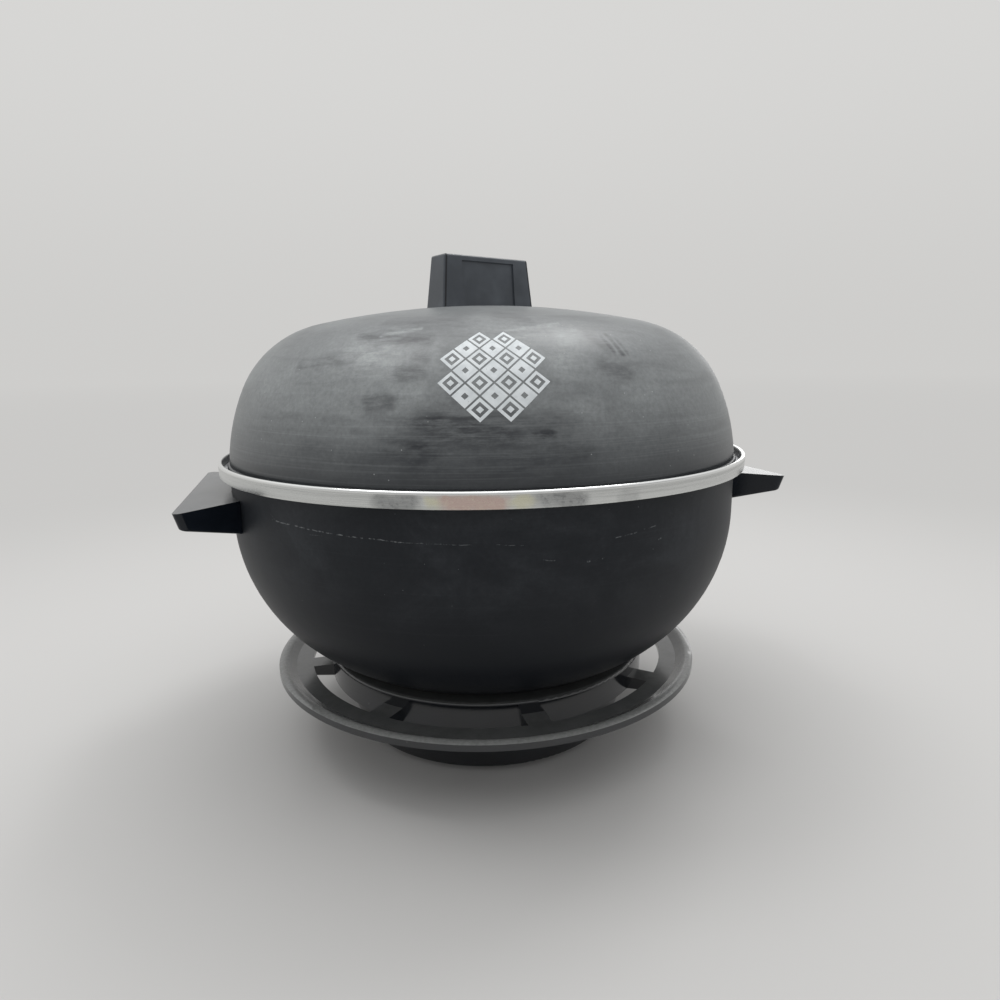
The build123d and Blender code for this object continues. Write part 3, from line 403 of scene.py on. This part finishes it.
def lid_enamel():
    """Satin black paint under a greasy, wiped film of dust, thickest on the shoulder; the film
    also paints light from above: lighter shoulder, darker skirt, painted highlights and shade.
    """
    black = (0.011, 0.014, 0.019)
    film_and_light_grey = (0.33, 0.352, 0.355)
    dust_grey = (0.52, 0.54, 0.54)
    made, sh = material("lid_enamel")
    place = sh.place()
    height = sh.height(place)
    spun = sh.turned(place)
    flat = sh.unrolled(place, mark_radius)

    # The film: cloudy above, wiped off in bands, left in thin rings on the skirt.
    # Its rise with height is painted light from above as well as dust, and it is eased off
    # on the crown as painted shade, where the overhead lamp lights most
    clouds = sh.spun_patches(spun, 34, 20, 0.28, 0.74, detail=5.0, rough=0.6, distortion=0.8)
    wipes = sh.spun_patches(spun, 110, 22, 0.46, 0.74, detail=6.0, rough=0.65, distortion=0.5)
    lines = sh.spun_patches(spun, 1100, 9, 0.50, 0.70, detail=3.0, rough=0.6)
    upper_film_and_light = sh.ramp(height, rim_top - 6 * MM, rim_top + 32 * MM, 0.07, 0.62)
    crown_shade = sh.ramp(height, rim_top + 42 * MM, rim_top + 64 * MM, 1.0, 0.72)
    skirt = sh.ramp(height, rim_top + 32 * MM, rim_top + 20 * MM)
    film = sh.times(sh.times(upper_film_and_light, crown_shade), sh.linear(clouds, 0.30, 0.76))
    film = sh.minus(film, sh.times(sh.times(wipes, upper_film_and_light), 0.22))
    film = sh.plus(film, sh.times(sh.times(lines, skirt), 0.10))

    # The marks that hands left in it, with painted highlights among the pale ones and painted
    # shade among the dark ones
    smear = sh.spun_patches(spun, 190, 60, 0.34, 0.64, detail=6.0, rough=0.7, distortion=0.4)
    rubbed = sh.spun_patches(spun, 260, 75, 0.36, 0.62, detail=6.0, rough=0.7, distortion=0.2)
    broad = sh.shaken(flat, 70.0, 7 * MM)
    slight = sh.shaken(flat, 60.0, 2.5 * MM)
    pale = sh.times(sh.marks(broad, mark_radius, pale_smears_and_highlights), sh.linear(smear, 0.85, 0.20))
    pale = sh.plus(pale, sh.times(sh.marks(slight, mark_radius, pale_lines), smear))
    dark = sh.times(sh.marks(broad, mark_radius, dark_smears_and_shade), sh.linear(rubbed, 1.5, 0.6))
    strokes = sh.marks(slight, mark_radius, finger_strokes)
    dark = sh.plus(dark, sh.times(strokes, sh.linear(rubbed, 1.2, 0.9)))
    film = sh.minus(sh.plus(film, pale), sh.times(dark, upper_film_and_light))
    fine = sh.noise(place, 560.0, detail=4.0, rough=0.75)
    film = sh.clamped(sh.times(film, sh.linear(fine, 1.0, 0.5)))

    dust = sh.larger(
        sh.specks(place, 150.0, size=0.050, share=0.09),
        sh.specks(place, 420.0, size=0.11, share=0.08),
    )
    colour = sh.blend(film, black, film_and_light_grey)
    colour = sh.blend(sh.times(dust, 0.75), colour, dust_grey)
    rough = sh.linear(film, 0.14, 0.35)
    relief = paint_relief(sh, place, spun, 1600, 30, 700.0)
    above_bead = sh.math("GREATER_THAN", height, bead_top)
    painted = sh.times(sh.outward(place, lid_inside_point), above_bead)
    enamel(sh, painted, colour, rough, 0.7, relief)
    return made


def bowl_enamel():
    """Deeper black paint, a little dusty on the upper wall with a painted sheen there, with a few
    long scratches.
    """
    black = (0.0042, 0.0058, 0.0088)
    film_and_light_grey = (0.036, 0.040, 0.046)
    dust_grey = (0.35, 0.37, 0.38)
    scratch_grey = (0.36, 0.38, 0.39)
    made, sh = material("bowl_enamel")
    place = sh.place()
    spun = sh.turned(place)
    flat = sh.unrolled(place, bowl_radius)
    clouds = sh.spun_patches(spun, 34, 26, 0.34, 0.74, detail=5.0, rough=0.6, distortion=0.8)
    lines = sh.spun_patches(spun, 1300, 10, 0.54, 0.72, detail=3.0, rough=0.6)
    # Lighter toward the rim: dust, and a painted sheen on the upper wall
    upper_film_and_light = sh.ramp(sh.height(place), 76 * MM, 126 * MM, 0.05, 0.85)
    film = sh.times(upper_film_and_light, sh.linear(clouds, 0.62, 0.28))
    film = sh.plus(film, sh.times(lines, 0.08))
    film = sh.times(film, sh.linear(sh.noise(place, 520.0, detail=4.0, rough=0.75), 1.2, 0.4))
    wandering = sh.shaken(sh.shaken(flat, 45.0, 2.0 * MM), 420.0, 0.8 * MM)
    scratches = sh.marks(wandering, bowl_radius, bowl_scratches)
    broken = sh.ramp(sh.noise(place, 520.0, detail=4.0, rough=0.7), 0.44, 0.60)
    worn = sh.at_most(sh.times(scratches, broken), 1.0)
    dust = sh.larger(
        sh.specks(place, 170.0, size=0.045, share=0.06),
        sh.specks(place, 430.0, size=0.09, share=0.05),
    )
    colour = sh.blend(sh.at_most(film, 1.0), black, film_and_light_grey)
    colour = sh.blend(sh.times(dust, 0.26), colour, dust_grey)
    colour = sh.blend(sh.times(worn, 0.45), colour, scratch_grey)
    rough = sh.linear(film, 0.10, 0.46)
    relief = paint_relief(sh, place, spun, 1500, 24, 650.0)
    enamel(sh, sh.outward(place, bowl_inside_point), colour, rough, 0.22, relief)
    return made


def spun_aluminium(name, colour, rough, grain_strength):
    """Aluminium with the fine rings that turning leaves, and small dull patches."""
    made, sh = material(name)
    place = sh.place()
    rings = sh.spun_noise(sh.turned(place), 5200, 18)
    dull = sh.ramp(sh.noise(place, 75.0, detail=5.0, rough=0.6, distortion=0.6), 0.40, 0.75)
    dark = tuple(c * 0.78 for c in colour)
    sh.surface(
        Base_Color=sh.blend(sh.times(dull, 0.7), colour, dark),
        Metallic=1.0,
        Roughness=sh.linear(dull, 0.16, rough),
        Normal=sh.bump(rings, grain_strength, 0.05 * MM),
    )
    return made


def band_metal():
    """Handled bright aluminium: turned rings, cloudy wear, tarnish, rosy and dull, and painted
    shade in the groove.
    """
    crest = (0.86, 0.87, 0.86)
    face_grey = (0.66, 0.67, 0.66)
    worn_grey = (0.42, 0.43, 0.42)
    rosy, rosy_spots = (0.58, 0.43, 0.38), (0.62, 0.50, 0.42)
    straw = (0.66, 0.63, 0.42)
    pitted_grey = (0.17, 0.175, 0.18)
    # Colour of the painted shade in the groove
    groove_shade_grey = (0.34, 0.345, 0.345)
    made, sh = material("band_aluminium")
    place = sh.place()
    spun = sh.turned(place)
    flat = sh.shaken(sh.unrolled(place, band_radius), 160.0, 7 * MM)
    face = sh.ramp(sh.height(place), rim_top - 0.9 * MM, rim_top - 1.5 * MM)
    # Painted shade on the inner wall of the band, in the groove round the lid
    groove_shade = sh.ramp(sh.reach(place), (band_inner + 0.7) * MM, (band_inner + 0.2) * MM)
    rings = sh.spun_noise(spun, 2600, 14, detail=3.0)
    streaks = sh.spun_patches(spun, 900, 11, 0.40, 0.70, detail=5.0, rough=0.65)
    spots = sh.ramp(sh.noise(place, 620.0, detail=4.0, rough=0.7), 0.48, 0.66)
    wear = sh.times(sh.times(streaks, face), 0.55)
    rosy_share = sh.at_most(sh.times(sh.marks(flat, band_radius, rosy_tarnish), face), 0.85)
    straw_share = sh.at_most(sh.times(sh.marks(flat, band_radius, straw_tarnish), face), 0.8)
    pitted = sh.at_most(sh.marks(flat, band_radius, dull_tarnish), 1.0)
    pitted = sh.times(pitted, sh.linear(spots, 0.25, 0.56))
    shade = sh.blend(face, crest, face_grey)
    shade = sh.blend(wear, shade, worn_grey)
    shade = sh.blend(rosy_share, shade, sh.blend(spots, rosy, rosy_spots))
    shade = sh.blend(straw_share, shade, straw)
    shade = sh.blend(sh.times(pitted, face), shade, pitted_grey)
    shade = sh.blend(groove_shade, shade, groove_shade_grey)
    roughness = sh.linear(wear, 0.12, sh.linear(face, 0.12, 0.13))
    roughness = sh.linear(groove_shade, 0.22, roughness)
    sh.surface(
        Base_Color=shade, Metallic=1.0, Roughness=roughness,
        Normal=sh.bump(rings, 0.10, 0.05 * MM),
    )
    return made


def printed_ink():
    """White ink with pinholes and a thin grey film."""
    white, greyed, hole = (0.78, 0.82, 0.84), (0.66, 0.70, 0.72), (0.10, 0.11, 0.12)
    made, sh = material("printed_ink")
    place = sh.place()
    film = sh.noise(place, 240.0, detail=4.0, rough=0.6)
    pinholes = sh.specks(place, 900.0, size=0.16, share=0.10)
    shade = sh.blend(sh.ramp(film, 0.35, 0.7), white, greyed)
    sh.surface(
        Base_Color=sh.blend(sh.times(pinholes, 0.55), shade, hole),
        Roughness=sh.linear(film, 0.15, 0.38),
        Specular_IOR_Level=0.4,
    )
    return made


def knob_seam_shade(sh, place):
    """1 on a thin line by each end of the knob, painted shade of the groove at its corner, and 0
    elsewhere.
    """
    from_end = 1.0 * MM
    half_width = 0.25 * MM
    soft_edge = 0.40 * MM
    along = sh.vector("DOT_PRODUCT", place, (cos(knob_turn), sin(knob_turn), 0.0))
    half = sh.linear(sh.minus(knob_top, sh.height(place)), knob_taper, knob_half)
    gap = sh.minus(half, sh.math("ABSOLUTE", along))
    off = sh.math("ABSOLUTE", sh.minus(gap, from_end))
    return sh.ramp(off, half_width + soft_edge, half_width)


def moulded(name, colour, rough, level, dust_share, dust_and_light_colour, dust_and_light_share, lip=None, seam_shade=None):
    """Black resin with a faint texture, and a lighter film where it looks up and beyond a lip's
    radius: dust, and painted light.
    """
    speck_grey = (0.40, 0.40, 0.39)
    seam_shade_black = (0.006, 0.007, 0.009)
    made, sh = material(name)
    place = sh.place()
    broad = sh.noise(place, 45.0, detail=3.0, rough=0.55)
    roughness = sh.linear(broad, 0.12, rough)
    patchy = sh.ramp(sh.noise(place, 150.0, detail=5.0, rough=0.65), 0.30, 0.66, 0.82, 1.0)
    # Lighter where the surface looks up: settled dust, and painted light from above
    dust_and_light = sh.times(sh.facing_up(0.25, 0.92), patchy)
    if lip:
        beyond = sh.ramp(sh.reach(place), lip - 1.0 * MM, lip + 1.5 * MM)
        caught = sh.times(beyond, sh.facing_up(-0.1, 0.5))
        grains = sh.ramp(sh.noise(place, 700.0, detail=4.0, rough=0.75), 0.36, 0.66, 0.85, 1.35)
        dust_and_light = sh.plus(sh.times(dust_and_light, 0.75), sh.times(caught, grains))
        roughness = sh.linear(caught, 0.08, roughness)
    dust = sh.specks(place, 260.0, size=0.08, share=dust_share)
    dust = sh.times(dust, sh.facing_up(-0.6, 0.6))
    pale = tuple(c * 1.7 + 0.002 for c in colour)
    shade = sh.blend(sh.ramp(broad, 0.35, 0.75), colour, pale)
    shade = sh.blend(sh.times(dust_and_light, dust_and_light_share), shade, dust_and_light_colour)
    shade = sh.blend(sh.times(dust, 0.8), shade, speck_grey)
    # A thin dark line of painted shade in the groove by each end
    if seam_shade:
        shade = sh.blend(sh.times(seam_shade(sh, place), 0.85), shade, seam_shade_black)
    sh.surface(
        Base_Color=shade, Roughness=roughness, Specular_IOR_Level=level,
        Normal=sh.bump(sh.noise(place, 900.0), 0.10, 0.08 * MM),
    )
    return made


def plated(name, colour, rough, patch=0.75):
    """Plated or tinted metal with a light tumbled texture."""
    made, sh = material(name)
    place = sh.place()
    broad = sh.noise(place, 160.0, detail=4.0, rough=0.6)
    dark = tuple(c * patch for c in colour)
    sh.surface(
        Base_Color=sh.blend(sh.ramp(broad, 0.38, 0.7), colour, dark),
        Metallic=1.0,
        Roughness=sh.linear(broad, 0.2, rough),
        Normal=sh.bump(sh.noise(place, 1800.0), 0.15, 0.05 * MM),
    )
    return made


def grained(name, colour, variation, scale, rough, bump_scale, strength):
    """Rubber, ceramic, mineral board or woven sleeve: plain, with some grain."""
    made, sh = material(name)
    place = sh.place()
    broad = sh.noise(place, scale, detail=4.0, rough=0.6)
    fine = sh.noise(place, bump_scale, detail=3.0, rough=0.6)
    other = tuple(max(0.0, min(1.0, c * variation)) for c in colour)
    sh.surface(
        Base_Color=sh.blend(sh.ramp(broad, 0.3, 0.7), colour, other),
        Roughness=sh.linear(fine, 0.1, rough),
        Normal=sh.bump(fine, strength, 0.1 * MM),
    )
    return made


def paint(made, *names):
    """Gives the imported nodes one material, in place of the one they came with."""
    for name in names:
        slots = nodes[name].data.materials
        slots.clear()
        slots.append(made)


# Spun band and printed ornament

def thicken(points, faces, inner_points):
    """A thin sheet made solid: its outer face, its back, and walls along its open edges."""
    count = len(points)
    edges = [edge for face in faces for edge in zip(face, face[1:] + face[:1])]
    known = set(edges)
    walls = [(b, a, a + count, b + count) for a, b in edges if (b, a) not in known]
    backs = [tuple(i + count for i in reversed(face)) for face in faces]
    return points + inner_points, faces + backs + walls


def add_mesh(name, points, faces, made, body, crease):
    """A piece that rides on a body, smooth except where its faces meet at more than a crease."""
    mesh = bpy.data.meshes.new(name)
    mesh.from_pydata(points, [], faces)
    mesh.shade_smooth()
    mesh.set_sharp_from_angle(angle=crease)
    mesh.materials.append(made)
    piece = bpy.data.objects.new(name, mesh)
    bpy.context.scene.collection.objects.link(piece)
    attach(piece, body)
    return piece


def arc_points(centre_r, centre_z, radius, start, end, count):
    """Points along an arc, from one angle to another in degrees."""
    angles = [radians(start + (end - start) * i / count) for i in range(count + 1)]
    return [(centre_r + radius * cos(a), centre_z + radius * sin(a)) for a in angles]


def make_band():
    """The rim band as a spinner leaves it: rolled top, tapered face, eased lower edge."""
    foot_r = band_foot - edge_round
    foot_z = band_bottom + edge_round
    section = [(ledge_inner, band_bottom)]
    section += arc_points(foot_r, foot_z, edge_round, -90, 0, edge_steps)
    section += arc_points(band_outer - roll_radius, -roll_radius, roll_radius, 0, 180, roll_steps)
    section += [(band_inner, ledge_top), (ledge_inner, ledge_top)]
    points = []
    for i in range(band_turns):
        heading = 2 * pi * i / band_turns
        for reach, rise in section:
            r = reach * MM
            points.append((r * cos(heading), r * sin(heading), rim_top + rise * MM))
    count = len(section)
    faces = []
    for i in range(band_turns):
        here = i * count
        there = (i + 1) % band_turns * count
        for j in range(count):
            k = (j + 1) % count
            faces.append((here + j, there + j, there + k, here + k))
    band = add_mesh(
        "rim_band_spun", points, faces, band_metal(), "warmer", band_crease)
    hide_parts("rim_band")


def on_lid(across, up, proud):
    """A point over the lid's shoulder or skirt, at distances from the ornament's centre."""
    rise = (ornament_angle - shoulder_angle) * shoulder_radius + up
    if rise > 0:
        centre_r, centre_z, radius = shoulder_r, shoulder_z, shoulder_radius
    else:
        centre_r, centre_z, radius = skirt_r, skirt_z, skirt_radius
    angle = shoulder_angle + rise / radius
    reach = centre_r + (radius + proud) * cos(angle)
    ornament_reach = shoulder_r + shoulder_radius * cos(ornament_angle)
    heading = radians(ornament_turn) + across / ornament_reach
    return (reach * cos(heading), reach * sin(heading), centre_z + (radius + proud) * sin(angle))


def diamond(across, up, half):
    """Points round a lozenge, several to a side."""
    corners = [(half, 0.0), (0.0, half), (-half, 0.0), (0.0, -half)]
    round_trip = []
    for (a, b), (c, d) in zip(corners, corners[1:] + corners[:1]):
        for step in range(side_steps):
            share = step / side_steps
            round_trip.append((across + a + (c - a) * share, up + b + (d - b) * share))
    return round_trip


def make_ornament():
    """A printed lattice: solid lozenges with an open dot between framed ones with a full dot."""
    spots = []
    faces = []
    count = 4 * side_steps

    def ring(across, up, halves):
        rounds = []
        for half in halves:
            rounds.append(len(spots))
            spots.extend(diamond(across, up, half))
        for outer, inner in zip(rounds, rounds[1:]):
            for i in range(count):
                j = (i + 1) % count
                faces.append((outer + i, outer + j, inner + j, inner + i))
        return rounds[-1]

    def full_dot(across, up, half):
        last = ring(across, up, (half, half * 0.5))
        spots.append((across, up))
        for i in range(count):
            faces.append((last + i, last + (i + 1) % count, len(spots) - 1))

    full_half = lozenge_half * lozenge_share
    for column in range(-lattice_reach, lattice_reach + 1):
        for row in range(-lattice_reach, lattice_reach + 1):
            if (column + row) % 2 or abs(column) == abs(row) == lattice_reach:
                continue
            across = column * lozenge_half
            up = row * lozenge_half
            if column % 2:
                ring(across, up, (full_half, full_half - frame_width))
                full_dot(across, up, dot_half)
            else:
                ring(across, up, (full_half, (full_half + dot_half) / 2, dot_half))
    front = [on_lid(*spot, ornament_proud) for spot in spots]
    back = [on_lid(*spot, ornament_back) for spot in spots]
    points, faces = thicken(front, faces, back)
    add_mesh("lid_ornament", points, faces, printed_ink(), "lid", ornament_crease)


# Floor and lights

floor_reach = 12.0
shadow_near = 0.25          # the floor takes shadows in full within this distance
shadow_gone = 0.9
backdrop_near = 1.2         # beyond this it turns from backdrop_low to backdrop_level
backdrop_far = 9.0
floor_colour = (0.56, 0.555, 0.546)
backdrop_low = (0.590, 0.585, 0.574)
backdrop_level = (0.617, 0.612, 0.600)
backdrop_top = (0.680, 0.676, 0.664)
studio_front = (0.26, 0.262, 0.27)
studio_overhead = (0.95, 0.95, 0.95)
lamp_aim = (0, 0, 0.16)


def make_floor():
    """A pale floor that takes shadows near the object and runs into the backdrop far off."""
    mesh = bpy.data.meshes.new("floor")
    corners = [(-floor_reach, -floor_reach, 0), (floor_reach, -floor_reach, 0),
               (floor_reach, floor_reach, 0), (-floor_reach, floor_reach, 0)]
    mesh.from_pydata(corners, [], [(0, 1, 2, 3)])
    floor = bpy.data.objects.new("floor", mesh)
    bpy.context.scene.collection.objects.link(floor)
    made, sh = material("floor")
    reach = sh.reach(sh.place())
    lit = sh.node("ShaderNodeBsdfDiffuse", {"Color": floor_colour})
    far = sh.blend(sh.ramp(reach, backdrop_near, backdrop_far), backdrop_low, backdrop_level)
    glow = sh.node("ShaderNodeEmission", {"Color": far, "Strength": 1.0})
    rays = sh.node("ShaderNodeLightPath").outputs
    seen = sh.larger(rays["Is Camera Ray"], rays["Is Glossy Ray"])
    seen = sh.larger(seen, rays["Is Transmission Ray"])
    share = sh.times(seen, sh.ramp(reach, shadow_near, shadow_gone))
    mixed = sh.node("ShaderNodeMixShader", {0: share, 1: lit.outputs[0], 2: glow.outputs[0]})
    sh.node("ShaderNodeOutputMaterial", {"Surface": mixed.outputs[0]})
    mesh.materials.append(made)


def make_world():
    """A pale studio: darker behind the camera, lighter overhead and behind the object."""
    world = bpy.data.worlds.new("studio")
    bpy.context.scene.world = world
    sh = Shader(world)
    direction = sh.parts(sh.node("ShaderNodeTexCoord").outputs["Generated"])
    level = sh.blend(sh.ramp(direction["Y"], -0.9, 0.5), studio_front, backdrop_level)
    sky = sh.blend(sh.ramp(direction["Z"], 0.0, 0.9), level, studio_overhead)
    seen_sky = sh.blend(sh.ramp(direction["Z"], 0.0, 0.41), backdrop_level, backdrop_top)
    rays = sh.node("ShaderNodeLightPath").outputs
    colour = sh.blend(rays["Is Camera Ray"], sky, seen_sky)
    background = sh.node("ShaderNodeBackground", {"Color": colour, "Strength": 1.0})
    sh.node("ShaderNodeOutputWorld", {"Surface": background.outputs[0]})


def make_light(name, place, aim, size, watts):
    """A rectangular lamp, turned to what it lights."""
    data = bpy.data.lights.new(name, "AREA")
    data.shape = "RECTANGLE"
    data.size, data.size_y = size
    data.energy = watts
    light = bpy.data.objects.new(name, data)
    bpy.context.scene.collection.objects.link(light)
    light.location = place
    light.rotation_euler = (Vector(aim) - Vector(place)).to_track_quat("-Z", "Y").to_euler()


make_camera()
make_world()
make_floor()
make_light("overhead", place=(0.0, 0.15, 1.5), aim=(0, 0, 0.12), size=(1.3, 0.9), watts=4.5)
make_light("softbox_left", place=(-0.69, 0.18, 1.51), aim=lamp_aim, size=(0.45, 0.45), watts=2.8)
make_light("softbox_right", place=(0.63, 0.36, 1.50), aim=lamp_aim, size=(0.45, 0.45), watts=4.0)
make_light("low_right", place=(0.93, 1.26, 0.36), aim=lamp_aim, size=(0.8, 0.35), watts=1.3)
make_band()
make_ornament()

handle_resin = moulded(
    "black_resin", colour=(0.0060, 0.0085, 0.0130), rough=0.16, level=0.30, dust_share=0.02,
    dust_and_light_colour=(0.13, 0.135, 0.14), dust_and_light_share=0.8,
)
knob_resin = moulded(
    "knob_resin", colour=(0.066, 0.075, 0.087), rough=0.28, level=0.45, dust_share=0.02,
    dust_and_light_colour=(0.18, 0.185, 0.19), dust_and_light_share=0.7, seam_shade=knob_seam_shade,
)
base_resin = moulded(
    "base_resin", colour=(0.0030, 0.0042, 0.0064), rough=0.10, level=0.80, dust_share=0.14,
    dust_and_light_colour=(0.25, 0.256, 0.25), dust_and_light_share=0.5, lip=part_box("base_plate")[1].x - 5 * MM,
)

paint(lid_enamel(), "lid_shell")
paint(bowl_enamel(), "bowl_shell")
paint(handle_resin, "left_handle", "right_handle")
paint(knob_resin, "lid_knob")
paint(base_resin, "base_plate", "heater_housing", "inlet_shroud")
paint(
    spun_aluminium("bare_aluminium", (0.66, 0.67, 0.68), rough=0.30, grain_strength=0.10),
    "bun_rack", "clamp_plate", "reflector_pan",
)
paint(
    plated("zinc_plate", (0.55, 0.56, 0.57), rough=0.30),
    "knob_washer", "knob_screw", "handle_screws", "hub_screws", "bottom_cover", "cover_screws",
    "bowl_studs", "stud_nuts", "stud_washers", "fuse_clip", "inlet_screws",
)
paint(plated("brass", (0.70, 0.52, 0.24), rough=0.25), "knob_insert", "handle_inserts")
paint(plated("nickel_plate", (0.66, 0.65, 0.63), rough=0.18), "inlet_pins")
paint(plated("element_sheath", (0.30, 0.27, 0.25), rough=0.42, patch=0.55), "heating_element")

ceramic = grained(
    "ceramic", (0.78, 0.76, 0.70), variation=0.9, scale=60.0, rough=0.35,
    bump_scale=700.0, strength=0.1,
)
mineral_board = grained(
    "mineral_board", (0.60, 0.58, 0.50), variation=0.75, scale=300.0, rough=0.75,
    bump_scale=900.0, strength=0.5,
)
rubber = grained(
    "rubber", (0.022, 0.022, 0.022), variation=1.6, scale=120.0, rough=0.62,
    bump_scale=1200.0, strength=0.3,
)
wire_sleeve = grained(
    "wire_sleeve", (0.70, 0.67, 0.60), variation=0.7, scale=900.0, rough=0.8,
    bump_scale=2600.0, strength=0.6,
)
paint(ceramic, "stud_spacers", "thermostat", "thermal_fuse")
paint(mineral_board, "insulating_disc")
paint(rubber, "rubber_feet")
paint(wire_sleeve, "lead_wires")

view = bpy.context.scene.view_settings
view.view_transform = "Standard"
